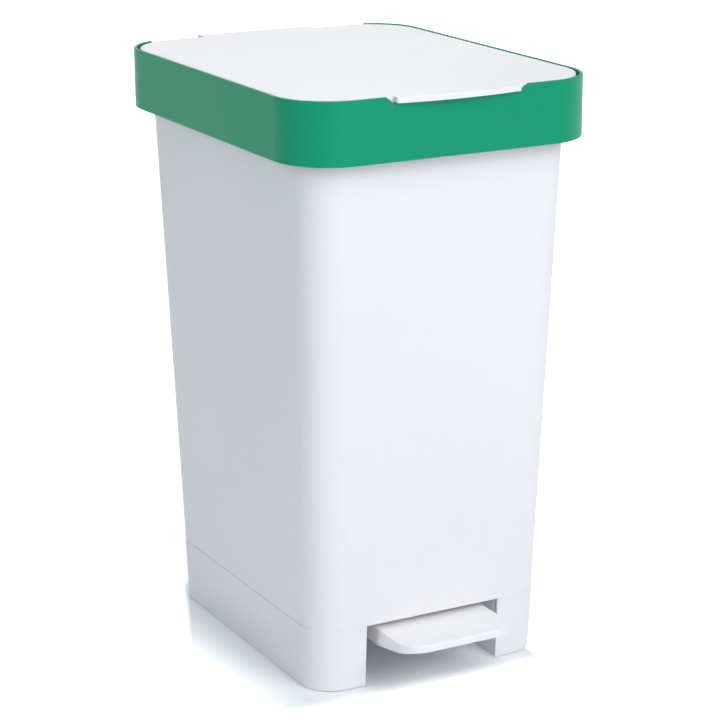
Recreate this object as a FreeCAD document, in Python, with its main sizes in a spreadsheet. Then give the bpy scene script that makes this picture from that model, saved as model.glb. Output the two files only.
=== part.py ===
# Kitchen pedal bin: tapered body on a plinth, lift-off bag collar, hinged lid,
# and a pedal that opens the lid through a push rod in the back of the body.
# Units are millimetres.  X is to the right, the front is -Y, Z is up, and the
# floor is z = 0.  Every node is drawn about the middle of the collar and then
# moved along Y so that the origin lies under the middle of the whole bin.
import FreeCAD, Part
import Sketcher
import math
import operator
import os

DOC = FreeCAD.newDocument("PedalBin")
SHEET = DOC.addObject("Spreadsheet::Sheet", "Sheet")
VECTOR = FreeCAD.Vector

SIZES = {
    # collar
    "overall_height": 470.0,
    "collar_width": 256.0,
    "collar_depth": 333.0,
    "collar_corner": 45.0,
    "collar_height": 48.0,
    "collar_wall": 2.5,
    "collar_round": 1.0,
    "ledge_thickness": 2.5,
    "lip_depth": 12.0,
    "lip_wall": 2.0,
    "lip_gap": 0.6,
    "notch_side_gap": 1.5,
    "notch_flare": 6.5,
    "notch_gap": 0.6,
    "back_drop": 6.0,
    "back_drop_inset": 38.0,
    "back_ramp_inset": 28.0,
    # body
    "rim_drop": 15.0,
    "rim_reach": 8.0,
    "rim_thickness": 2.5,
    "rim_fall": 9.0,
    "mouth_side_inset": 14.1,
    "mouth_end_inset": 12.7,
    "mouth_corner": 31.3,
    "side_taper": 12.4,
    "end_taper": 24.55,
    "base_corner": 27.0,
    "body_wall": 2.2,
    "floor_thickness": 2.5,
    "floor_round": 6.0,
    "channel_side_gap": 7.0,
    "channel_floor_gap": 2.0,
    # plinth
    "seam_height": 51.5,
    "plinth_wall": 2.5,
    "plinth_proud": 0.45,
    "plinth_flange": 18.0,
    "flange_thickness": 2.5,
    "slot_side_gap": 10.3,
    "slot_round": 0.7,
    "tunnel_depth": 78.0,
    "tunnel_wall": 2.2,
    "gusset_wall": 1.8,
    "gusset_height": 20.0,
    "gusset_pitch": 34.0,
    # screws that hold the plinth under the body
    "boss_radius": 5.0,
    "boss_length": 22.0,
    "tab_thickness": 3.0,
    "tab_side": 14.0,
    "tab_gap": 1.0,
    "screw_radius": 1.9,
    "screw_length": 15.0,
    "screw_head_radius": 3.8,
    "screw_head_height": 2.6,
    "screw_gap": 0.05,
    # feet
    "foot_lift": 1.0,
    "foot_radius": 7.0,
    "foot_stem_radius": 3.0,
    "foot_barb_radius": 4.0,
    "foot_barb_height": 2.5,
    # lid
    "lid_drop": 0.4,
    "lid_sheet": 2.2,
    "lid_wall": 2.0,
    "lid_gap": 1.1,
    "lid_back_gap": 1.5,
    "lid_corner": 46.0,
    "lid_rest_gap": 0.3,
    "lid_edge_round": 1.0,
    "lid_rib_wall": 1.6,
    "lid_rib_depth": 3.5,
    "lid_rib_across": 110.0,
    "lid_rib_along": 130.0,
    "lip_width": 104.0,
    "lip_thickness": 4.4,
    "lip_reach": 2.0,
    "lip_bow": 4.5,
    "tab_width": 103.0,
    # lid hinge
    "hinge_back": 3.0,
    "hinge_drop": 8.0,
    "barrel_radius": 4.5,
    "pin_radius": 2.0,
    "pin_gap": 0.05,
    "ear_wall": 4.0,
    "ear_gap": 1.5,
    "lid_swing": 75.0,
    # horn under the lid and the push rod that lifts it
    "horn_reach": 26.0,
    "horn_width": 10.0,
    "horn_nose": 3.0,
    "horn_gap": 0.7,
    "rod_radius": 2.5,
    "rod_gap": 0.08,
    "cap_radius": 5.0,
    "cap_length": 14.0,
    "cap_crown": 3.0,
    "foot_bush_radius": 4.5,
    "foot_bush_length": 14.0,
    "foot_bush_sole": 3.0,
    "press_gap": 0.02,
    "guide_height": 14.0,
    "upper_guide_drop": 50.0,
    "lower_guide_rise": 34.5,
    "guide_inset": 2.0,
    # pedal and its axle
    "pedal_stand": 49.75,
    "pedal_width": 97.4,
    "pedal_corner": 20.0,
    "pedal_top": 47.0,
    "pedal_tail": 18.0,
    "pedal_sheet": 2.6,
    "pedal_wall": 2.4,
    "pedal_nose_depth": 5.6,
    "pedal_skirt_depth": 14.0,
    "pedal_skirt_stand": 1.75,
    "pedal_edge_round": 1.6,
    "tread_rib_wall": 1.8,
    "tread_rib_lift": 2.0,
    "pivot_inset": 59.25,
    "pivot_height": 36.0,
    "axle_radius": 3.0,
    "axle_gap": 0.05,
    "boss_wall": 3.2,
    "lug_wall": 4.0,
    "lug_radius": 7.0,
    "lug_gap": 0.4,
    "boss_reach": 2.4,
    "clip_radius": 6.0,
    "clip_thickness": 1.0,
    "clip_gap": 0.2,
    "axle_end": 1.2,
    "lever_width": 22.0,
    "lever_web": 3.0,
    "lever_depth": 12.0,
    "lever_nose_height": 14.0,
    "lever_nose_radius": 4.0,
    "lever_nose_stand": 2.5,
    "lever_gap": 0.3,
}

OPERATIONS = {
    "+": operator.add,
    "-": operator.sub,
    "*": operator.mul,
    "/": operator.truediv,
}


class Size:
    """A number together with the spreadsheet expression that gives it."""

    def __init__(self, value, text):
        self.value = value
        self.text = text

    def __add__(self, other):
        return combine(self, "+", other)

    def __radd__(self, other):
        return combine(other, "+", self)

    def __sub__(self, other):
        return combine(self, "-", other)

    def __rsub__(self, other):
        return combine(other, "-", self)

    def __mul__(self, other):
        return combine(self, "*", other)

    def __rmul__(self, other):
        return combine(other, "*", self)

    def __truediv__(self, other):
        return combine(self, "/", other)

    def __rtruediv__(self, other):
        return combine(other, "/", self)

    def __neg__(self):
        return combine(0, "-", self)


def as_size(number):
    if isinstance(number, Size):
        return number
    return Size(float(number), repr(float(number)))


def combine(left, sign, right):
    left = as_size(left)
    right = as_size(right)
    value = OPERATIONS[sign](left.value, right.value)
    return Size(value, f"({left.text} {sign} {right.text})")


def root(size):
    return Size(math.sqrt(size.value), f"sqrt({size.text})")


def sine(degrees):
    return Size(math.sin(math.radians(degrees.value)), f"sin({degrees.text})")


def cosine(degrees):
    return Size(math.cos(math.radians(degrees.value)), f"cos({degrees.text})")


def fill_sheet():
    sizes = {}
    for row, (name, value) in enumerate(SIZES.items(), start=1):
        SHEET.set(f"A{row}", name)
        SHEET.set(f"B{row}", str(value))
        SHEET.setAlias(f"B{row}", name)
        sizes[name] = Size(value, f"Sheet.{name}")
    DOC.recompute()
    return sizes


S = fill_sheet()

# Places that several nodes share.
RIM = S["overall_height"] - S["rim_drop"]
MOUTH_WIDTH = S["collar_width"] - 2 * S["mouth_side_inset"]
MOUTH_DEPTH = S["collar_depth"] - 2 * S["mouth_end_inset"]
BASE_WIDTH = MOUTH_WIDTH - 2 * S["side_taper"]
BASE_DEPTH = MOUTH_DEPTH - 2 * S["end_taper"]
FRONT = -S["collar_depth"] / 2
BACK = S["collar_depth"] / 2
HINGE_Y = BACK + S["hinge_back"]
HINGE_Z = S["overall_height"] - S["hinge_drop"]
COLLAR_FOOT = S["overall_height"] - S["collar_height"]
LEDGE_TOP = RIM + S["ledge_thickness"]
LID_TOP = S["overall_height"] - S["lid_drop"]
LID_FOOT = LEDGE_TOP + S["lid_rest_gap"]
SHEET_FOOT = LID_TOP - S["lid_sheet"]
FLOOR_TOP = S["seam_height"] + S["floor_thickness"]
NOTCH_FLOOR = LID_TOP - S["lip_thickness"] - S["notch_gap"]
PEDAL_REACH = BASE_DEPTH / 2 + S["pedal_stand"]
SHIFT = (PEDAL_REACH - HINGE_Y - S["barrel_radius"]) / 2

# The rod leans with the back of the body.  It runs in the middle of the path
# that the nose of the lid's horn takes across it.
SLOPE = S["end_taper"] / RIM
UPRIGHT = 1 / root(1 + SLOPE * SLOPE)
LEAN = SLOPE * UPRIGHT
HALF_SWING = S["lid_swing"] / 2
NOSE_IN = S["horn_reach"] * cosine(HALF_SWING)
NOSE_DOWN = S["horn_reach"] * sine(HALF_SWING)
ROD_IN = (S["horn_reach"] + NOSE_IN) / 2
ROD_Y = HINGE_Y - ROD_IN * UPRIGHT
ROD_Z = HINGE_Z + ROD_IN * LEAN
NOSE_Y = HINGE_Y - NOSE_IN * UPRIGHT - NOSE_DOWN * LEAN
NOSE_Z = HINGE_Z + NOSE_IN * LEAN - NOSE_DOWN * UPRIGHT
CAP_TOP = -NOSE_DOWN - S["horn_nose"] - S["horn_gap"]
LEVER_NOSE_Y = ROD_Y + SLOPE * (S["lever_nose_height"] - ROD_Z)
LEVER_NOSE_RUN = (S["lever_nose_height"] - ROD_Z) / UPRIGHT
BUSH_FOOT = LEVER_NOSE_RUN + S["lever_nose_radius"] + S["lever_gap"]
ROD_INSET = BASE_DEPTH / 2 + SLOPE * ROD_Z - ROD_Y
CHANNEL_WIDTH = 2 * (S["cap_radius"] + S["channel_side_gap"])
CHANNEL_DEPTH = ROD_INSET + S["cap_radius"] + S["channel_floor_gap"]

PEDAL_HALF = S["pedal_width"] / 2
PIVOT_Y = S["pivot_inset"] - BASE_DEPTH / 2
LUG_INNER = PEDAL_HALF + S["boss_reach"] + S["lug_gap"]
SLOT_WIDTH = S["pedal_width"] + 2 * S["slot_side_gap"]
LUG_OUTER = LUG_INNER + S["lug_wall"]
CLIP_START = LUG_OUTER + S["clip_gap"]
AXLE_HALF = CLIP_START + S["clip_thickness"] + S["axle_end"]
BOSS_FOOT = S["seam_height"] - S["boss_length"]


def taper(height):
    """Width, depth and corner radius of the outer form at one height."""
    share = height / RIM
    width = BASE_WIDTH + (MOUTH_WIDTH - BASE_WIDTH) * share
    depth = BASE_DEPTH + (MOUTH_DEPTH - BASE_DEPTH) * share
    corner = S["base_corner"] + (S["mouth_corner"] - S["base_corner"]) * share
    return width, depth, corner


def inside(form, wall):
    """The same rounded rectangle, taken in by one wall all round."""
    width, depth, corner = form
    return width - 2 * wall, depth - 2 * wall, corner - wall


# The plinth's screws stand behind the pedal's tunnel, inside the edge of the
# bottom flange so that a driver reaches them.  The feet are in the middle of the
# flange, where its straight sides end.
SLOT_FRONT = -taper(S["seam_height"])[1] / 2 - S["plinth_proud"]
TUNNEL_BACK = SLOT_FRONT + S["tunnel_depth"]
SCREW_ACROSS = BASE_WIDTH - 2 * (S["plinth_flange"] + S["screw_head_radius"])
SCREW_ALONG = -(2 * TUNNEL_BACK + S["tab_side"] + 2 * S["tab_gap"])
FOOT_ACROSS = BASE_WIDTH - S["plinth_flange"]
FOOT_ALONG = BASE_DEPTH - 2 * S["base_corner"]


def new_body(label):
    body = DOC.addObject("PartDesign::Body", label)
    body.Label = label
    body.setExpression("Placement.Base.y", SHIFT.text)
    return body


def lean_body(label):
    """A body along the rod: its own Z is the rod's axis."""
    body = DOC.addObject("PartDesign::Body", label)
    body.Label = label
    body.Placement = FreeCAD.Placement(VECTOR(0, 0, 0), FreeCAD.Rotation(VECTOR(-1, 0, 0), 3))
    body.setExpression("Placement.Base.y", (ROD_Y + SHIFT).text)
    body.setExpression("Placement.Base.z", ROD_Z.text)
    body.setExpression("Placement.Rotation.Angle", f"atan({SLOPE.text})")
    return body


def new_sketch(body, name, role, offset=None, slide=None):
    """A sketch on one of the body's own planes, moved off it and along it."""
    sketch = body.newObject("Sketcher::SketchObject", name)
    plane = next(item for item in body.Origin.OriginFeatures if item.Role == role)
    sketch.AttachmentSupport = [(plane, "")]
    sketch.MapMode = "FlatFace"
    if offset is not None:
        sketch.setExpression("AttachmentOffset.Base.z", offset.text)
    if slide is not None:
        sketch.setExpression("AttachmentOffset.Base.y", slide.text)
    return sketch


def bind(sketch, constraint, size):
    index = sketch.addConstraint(constraint)
    sketch.setExpression(f"Constraints[{index}]", size.text)


def pin_point(sketch, geometry, end, x, y):
    """Hold one point of the sketch at x, y."""
    if abs(x.value) < 1e-9:
        sketch.addConstraint(Sketcher.Constraint("PointOnObject", geometry, end, -2))
    else:
        bind(sketch, Sketcher.Constraint("DistanceX", -1, 1, geometry, end, x.value), x)
    if abs(y.value) < 1e-9:
        sketch.addConstraint(Sketcher.Constraint("PointOnObject", geometry, end, -1))
    else:
        bind(sketch, Sketcher.Constraint("DistanceY", -1, 1, geometry, end, y.value), y)


def add_line(sketch, start, stop):
    first = VECTOR(start[0].value, start[1].value, 0)
    last = VECTOR(stop[0].value, stop[1].value, 0)
    sketch.addGeometry(Part.LineSegment(first, last), False)


def polygon(sketch, points):
    """A closed outline of straight lines."""
    first = sketch.GeometryCount
    count = len(points)
    corners = [(as_size(x), as_size(y)) for x, y in points]
    for index in range(count):
        add_line(sketch, corners[index], corners[(index + 1) % count])
    for index in range(count):
        following = first + (index + 1) % count
        sketch.addConstraint(Sketcher.Constraint("Coincident", first + index, 2, following, 1))
    for index, (x, y) in enumerate(corners):
        pin_point(sketch, first + index, 1, x, y)
    return sketch


def rectangle(sketch, left, right, low, high):
    return polygon(sketch, [(left, low), (right, low), (right, high), (left, high)])


def circle(sketch, x, y, radius):
    x = as_size(x)
    y = as_size(y)
    index = sketch.GeometryCount
    ring = Part.Circle(VECTOR(x.value, y.value, 0), VECTOR(0, 0, 1), radius.value)
    sketch.addGeometry(ring, False)
    pin_point(sketch, index, 3, x, y)
    bind(sketch, Sketcher.Constraint("Radius", index, radius.value), radius)
    return sketch


def rounded(sketch, form):
    """A rectangle with round corners about the sketch's origin."""
    width, depth, corner = form
    first = sketch.GeometryCount
    across = width.value / 2
    along = depth.value / 2
    radius = corner.value
    turns = [(1, -1), (1, 1), (-1, 1), (-1, -1)]
    ends = [
        (VECTOR(-across + radius, -along, 0), VECTOR(across - radius, -along, 0)),
        (VECTOR(across, -along + radius, 0), VECTOR(across, along - radius, 0)),
        (VECTOR(across - radius, along, 0), VECTOR(-across + radius, along, 0)),
        (VECTOR(-across, along - radius, 0), VECTOR(-across, -along + radius, 0)),
    ]
    for start, stop in ends:
        sketch.addGeometry(Part.LineSegment(start, stop), False)
    for index, (side, end) in enumerate(turns):
        centre = VECTOR(side * (across - radius), end * (along - radius), 0)
        ring = Part.Circle(centre, VECTOR(0, 0, 1), radius)
        start = math.radians(-90 + 90 * index)
        sketch.addGeometry(Part.ArcOfCircle(ring, start, start + math.pi / 2), False)
    for index in range(4):
        arc = first + 4 + index
        following = first + (index + 1) % 4
        sketch.addConstraint(Sketcher.Constraint("Tangent", first + index, 2, arc, 1))
        sketch.addConstraint(Sketcher.Constraint("Tangent", arc, 2, following, 1))
    for index, direction in enumerate(("Horizontal", "Vertical", "Horizontal", "Vertical")):
        sketch.addConstraint(Sketcher.Constraint(direction, first + index))
    for index in range(1, 4):
        sketch.addConstraint(Sketcher.Constraint("Equal", first + 4, first + 4 + index))
    bind(sketch, Sketcher.Constraint("Radius", first + 4, radius), corner)
    bind(sketch, Sketcher.Constraint("DistanceX", first + 3, 1, first + 1, 1, 2 * across), width)
    bind(sketch, Sketcher.Constraint("DistanceY", first, 1, first + 2, 1, 2 * along), depth)
    sketch.addConstraint(Sketcher.Constraint("Symmetric", first, 1, first + 2, 1, -1, 1))
    return sketch


def check_change(body, before, wanted):
    """Stop when a feature failed or left the body as it was."""
    DOC.recompute()
    feature = body.Tip
    if "Invalid" in feature.State or "Error" in feature.State or feature.Shape.isNull():
        raise RuntimeError(f"{body.Label}: {feature.Name} failed")
    change = feature.Shape.Volume - before
    if change * wanted <= 0:
        raise RuntimeError(f"{body.Label}: {feature.Name} changed nothing")


def volume_of(body):
    return body.Tip.Shape.Volume if body.Tip else 0.0


def pad(body, sketch, length, name, both=False, reverse=False):
    before = volume_of(body)
    feature = body.newObject("PartDesign::Pad", name)
    feature.Profile = sketch
    feature.SideType = "Symmetric" if both else "One side"
    feature.Reversed = reverse
    feature.setExpression("Length", as_size(length).text)
    sketch.Visibility = False
    check_change(body, before, 1)
    return feature


def pocket(body, sketch, length, name, both=False, reverse=False):
    before = volume_of(body)
    feature = body.newObject("PartDesign::Pocket", name)
    feature.Profile = sketch
    feature.SideType = "Symmetric" if both else "One side"
    feature.Reversed = reverse
    feature.setExpression("Length", as_size(length).text)
    sketch.Visibility = False
    check_change(body, before, -1)
    return feature


def loft(body, kind, low, high, name):
    before = volume_of(body)
    feature = body.newObject(f"PartDesign::{kind}Loft", name)
    feature.Profile = low
    feature.Sections = [high]
    feature.Ruled = True
    check_change(body, before, 1 if kind == "Additive" else -1)
    return feature


def edges_where(shape, test):
    return [f"Edge{number}" for number, edge in enumerate(shape.Edges, start=1) if test(edge)]


def fillet(body, test, radius, name):
    base = body.Tip
    names = edges_where(base.Shape, test)
    if not names:
        raise RuntimeError(f"{body.Label}: {name} finds no edge")
    feature = body.newObject("PartDesign::Fillet", name)
    feature.Base = (base, names)
    feature.setExpression("Radius", radius.text)
    DOC.recompute()
    if "Invalid" in feature.State or not feature.Shape.isValid():
        raise RuntimeError(f"{body.Label}: {name} failed on {names}")
    return feature


def tapered(body, kind, name, low, high, wall):
    """A tapered block between two heights, taken in by one wall."""
    lower = rounded(new_sketch(body, name + "Low", "XY_Plane", low), inside(taper(low), wall))
    upper = rounded(new_sketch(body, name + "High", "XY_Plane", high), inside(taper(high), wall))
    return loft(body, kind, lower, upper, name)


def ring(body, name, outer, inner, low, high):
    """An upright rounded ring between two heights."""
    sketch = new_sketch(body, name + "Sketch", "XY_Plane", low)
    rounded(sketch, outer)
    rounded(sketch, inner)
    return pad(body, sketch, high - low, name)


def back_wall(height):
    """Y of the outer face of the back at one height."""
    return BASE_DEPTH / 2 + SLOPE * height


def corner_places(across, along):
    return [(x * across / 2, y * along / 2) for y in (-1, 1) for x in (-1, 1)]


def build_body():
    body = new_body("body")
    wall = S["body_wall"]
    rim = RIM
    nothing = as_size(0)
    tapered(body, "Additive", "Shell", S["seam_height"], rim, nothing)
    tapered(body, "Subtractive", "Inside", FLOOR_TOP, rim, wall)
    fillet(body, lambda edge: level_at(edge, FLOOR_TOP), S["floor_round"], "FloorRound")

    mouth = taper(rim)
    outer = inside(mouth, -S["rim_reach"])
    ring(body, "Rim", outer, inside(mouth, wall), rim - S["rim_thickness"], rim)
    ring(body, "RimFall", outer, inside(outer, wall), rim - S["rim_fall"], rim)

    half = CHANNEL_WIDTH / 2
    deep = CHANNEL_DEPTH
    low = S["seam_height"]
    ridge = new_sketch(body, "RidgeSketch", "YZ_Plane")
    polygon(ridge, [
        (back_wall(low) - deep - wall, low),
        (back_wall(low) - wall / 2, low),
        (back_wall(rim) - wall / 2, rim),
        (back_wall(rim) - deep - wall, rim),
    ])
    pad(body, ridge, 2 * (half + wall), "Ridge", both=True)
    channel = new_sketch(body, "ChannelSketch", "YZ_Plane")
    beyond = S["rim_reach"] + wall
    polygon(channel, [
        (back_wall(low) - deep, low),
        (back_wall(low) + beyond, low),
        (back_wall(rim) + beyond, rim),
        (back_wall(rim) - deep, rim),
    ])
    pocket(body, channel, 2 * half, "Channel", both=True)

    bosses = new_sketch(body, "BossSketch", "XY_Plane", S["seam_height"])
    for x, y in corner_places(SCREW_ACROSS, SCREW_ALONG):
        circle(bosses, x, y, S["boss_radius"])
    pad(body, bosses, S["boss_length"], "Bosses", reverse=True)
    holes = new_sketch(body, "BossHoleSketch", "XY_Plane", BOSS_FOOT)
    for x, y in corner_places(SCREW_ACROSS, SCREW_ALONG):
        circle(holes, x, y, S["screw_radius"] + S["screw_gap"])
    pocket(body, holes, S["screw_length"], "BossHoles", reverse=True)

    for side, name in ((1, "Right"), (-1, "Left")):
        start = LUG_INNER if side > 0 else -LUG_OUTER
        lug = new_sketch(body, f"Lug{name}Sketch", "YZ_Plane", start)
        reach = S["lug_radius"]
        rectangle(lug, PIVOT_Y - reach, PIVOT_Y + reach, S["pivot_height"], S["seam_height"] + wall / 2)
        pad(body, lug, S["lug_wall"], f"Lug{name}")
        round_end = new_sketch(body, f"LugEnd{name}Sketch", "YZ_Plane", start)
        circle(round_end, PIVOT_Y, S["pivot_height"], reach)
        pad(body, round_end, S["lug_wall"], f"LugEnd{name}")
    axle = new_sketch(body, "AxleHoleSketch", "YZ_Plane")
    circle(axle, PIVOT_Y, S["pivot_height"], S["axle_radius"] + S["axle_gap"])
    pocket(body, axle, 2 * (LUG_OUTER + wall), "AxleHole", both=True)
    return body


def plinth_middle(height):
    """How far out the middle of the plinth's side wall is at one height."""
    return taper(height)[0] / 2 + S["plinth_proud"] - S["plinth_wall"] / 2


def build_plinth():
    body = new_body("plinth")
    wall = S["plinth_wall"]
    proud = -S["plinth_proud"]
    low = S["foot_lift"]
    top = S["seam_height"]
    flange_top = low + S["flange_thickness"]
    tapered(body, "Additive", "Skirt", low, top, proud)
    tapered(body, "Subtractive", "Hollow", flange_top, top, wall + proud)
    opening = new_sketch(body, "OpeningSketch", "XY_Plane", low)
    rounded(opening, inside(taper(low), S["plinth_flange"]))
    pocket(body, opening, S["flange_thickness"], "Opening", reverse=True)

    half = SLOT_WIDTH / 2
    walls = new_sketch(body, "TunnelSketch", "XY_Plane", low)
    inner_front = -taper(low)[1] / 2 + wall / 2
    for side in (-1, 1):
        near = side * half
        far = side * (half + S["tunnel_wall"])
        left, right = (near, far) if side > 0 else (far, near)
        rectangle(walls, left, right, inner_front, TUNNEL_BACK)
    pad(body, walls, top - low, "TunnelWalls")
    slot = new_sketch(body, "SlotSketch", "XY_Plane", low)
    rectangle(slot, -half, half, SLOT_FRONT - wall, TUNNEL_BACK)
    pocket(body, slot, top - low, "Slot", reverse=True)

    tab_low = BOSS_FOOT - S["tab_thickness"]
    tabs = new_sketch(body, "TabSketch", "XY_Plane", tab_low)
    reach = plinth_middle(tab_low)
    inner = SCREW_ACROSS / 2 - S["tab_side"] / 2
    for side in (-1, 1):
        left, right = (inner, reach) if side > 0 else (-reach, -inner)
        for end in (-1, 1):
            middle = end * SCREW_ALONG / 2
            rectangle(tabs, left, right, middle - S["tab_side"] / 2, middle + S["tab_side"] / 2)
    pad(body, tabs, S["tab_thickness"], "ScrewTabs")
    holes = new_sketch(body, "TabHoleSketch", "XY_Plane", tab_low)
    for x, y in corner_places(SCREW_ACROSS, SCREW_ALONG):
        circle(holes, x, y, S["screw_radius"] + S["lug_gap"])
    pocket(body, holes, S["tab_thickness"], "TabHoles", reverse=True)

    stems = new_sketch(body, "FootHoleSketch", "XY_Plane", low)
    for x, y in corner_places(FOOT_ACROSS, FOOT_ALONG):
        circle(stems, x, y, S["foot_stem_radius"] + S["pin_gap"])
    pocket(body, stems, S["flange_thickness"], "FootHoles", reverse=True)

    crest = flange_top + S["gusset_height"]
    toe = BASE_WIDTH / 2 - S["plinth_flange"]
    for place in (-1, 0, 1):
        gussets = new_sketch(body, f"GussetSketch{place + 1}", "XZ_Plane", place * S["gusset_pitch"])
        for side in (-1, 1):
            polygon(gussets, [
                (side * toe, flange_top - S["flange_thickness"] / 2),
                (side * plinth_middle(flange_top), flange_top - S["flange_thickness"] / 2),
                (side * plinth_middle(crest), crest),
                (side * toe, flange_top),
            ])
        pad(body, gussets, S["gusset_wall"], f"Gussets{place + 1}", both=True)

    upright = lambda edge: vertical(edge) and abs(abs(edge.CenterOfMass.x) - half.value) < 0.01
    fillet(body, lambda edge: upright(edge) and edge.CenterOfMass.y < SLOT_FRONT.value + wall.value,
           S["slot_round"], "SlotRound")
    return body


def vertical(edge):
    """True for a straight edge that runs mostly upward."""
    if len(edge.Vertexes) != 2:
        return False
    run = edge.Vertexes[1].Point - edge.Vertexes[0].Point
    return run.Length > 0 and abs(run.z) > 0.99 * run.Length


def level_at(edge, height):
    """True for an edge that lies flat at one height."""
    box = edge.BoundBox
    return box.ZMax - box.ZMin < 0.001 and abs(box.ZMax - height.value) < 0.001


def build_collar():
    body = new_body("collar")
    top = S["overall_height"]
    wall = S["collar_wall"]
    outer = (S["collar_width"], S["collar_depth"], S["collar_corner"])
    hollow = inside(outer, wall)
    ring(body, "Wall", outer, hollow, COLLAR_FOOT, top)
    rims = lambda edge: level_at(edge, top) or level_at(edge, COLLAR_FOOT)
    fillet(body, rims, S["collar_round"], "EdgeRound")
    lip_form = inside(taper(RIM - S["lip_depth"]), S["body_wall"] + S["lip_gap"])
    lip_hole = inside(lip_form, S["lip_wall"])
    ring(body, "Ledge", inside(outer, wall / 2), lip_hole, RIM, LEDGE_TOP)
    ring(body, "Lip", lip_form, lip_hole, RIM - S["lip_depth"], LEDGE_TOP)

    notch = new_sketch(body, "NotchSketch", "XZ_Plane", -FRONT - 2 * wall)
    low = S["lip_width"] / 2 + S["notch_side_gap"]
    high = low + S["notch_flare"]
    polygon(notch, [(-low, NOTCH_FLOOR), (low, NOTCH_FLOOR), (high, top), (-high, top)])
    pocket(body, notch, 3 * wall, "Notch", reverse=True)

    drop = new_sketch(body, "BackDropSketch", "XZ_Plane", -BACK - wall)
    low = S["collar_width"] / 2 - S["back_drop_inset"]
    high = S["collar_width"] / 2 - S["back_ramp_inset"]
    floor = top - S["back_drop"]
    polygon(drop, [(-low, floor), (low, floor), (high, top), (-high, top)])
    pocket(body, drop, S["collar_corner"] + 2 * wall, "BackDrop", reverse=True)

    ear_inner = S["tab_width"] / 2 + S["ear_gap"]
    gap = new_sketch(body, "HingeGapSketch", "XZ_Plane", -BACK - wall)
    rectangle(gap, -ear_inner, ear_inner, HINGE_Z - S["barrel_radius"] - S["ear_gap"], top)
    pocket(body, gap, 3 * wall, "HingeGap", reverse=True)

    clear = CHANNEL_WIDTH / 2 + S["body_wall"] + S["ear_gap"]
    opening = new_sketch(body, "RodOpeningSketch", "XY_Plane", RIM - S["lip_depth"])
    rectangle(opening, -clear, clear, lip_hole[1] / 2 - 2 * wall, BACK - wall)
    pocket(body, opening, S["lip_depth"] + S["ledge_thickness"], "RodOpening", reverse=True)

    radius = S["barrel_radius"]
    for side, name in ((1, "Right"), (-1, "Left")):
        start = ear_inner if side > 0 else -ear_inner - S["ear_wall"]
        web = new_sketch(body, f"Ear{name}Sketch", "YZ_Plane", start)
        polygon(web, [
            (BACK - wall / 2, HINGE_Z - 3 * radius),
            (HINGE_Y + radius, HINGE_Z - radius / 2),
            (HINGE_Y + radius, HINGE_Z),
            (BACK - wall / 2, HINGE_Z),
        ])
        pad(body, web, S["ear_wall"], f"Ear{name}")
        crown = new_sketch(body, f"EarCrown{name}Sketch", "YZ_Plane", start)
        circle(crown, HINGE_Y, HINGE_Z, radius)
        pad(body, crown, S["ear_wall"], f"EarCrown{name}")
    pin_hole = new_sketch(body, "PinHoleSketch", "YZ_Plane")
    circle(pin_hole, HINGE_Y, HINGE_Z, S["pin_radius"] + S["press_gap"])
    pocket(body, pin_hole, 2 * (ear_inner + 2 * S["ear_wall"]), "PinHoles", both=True)
    return body


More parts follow.
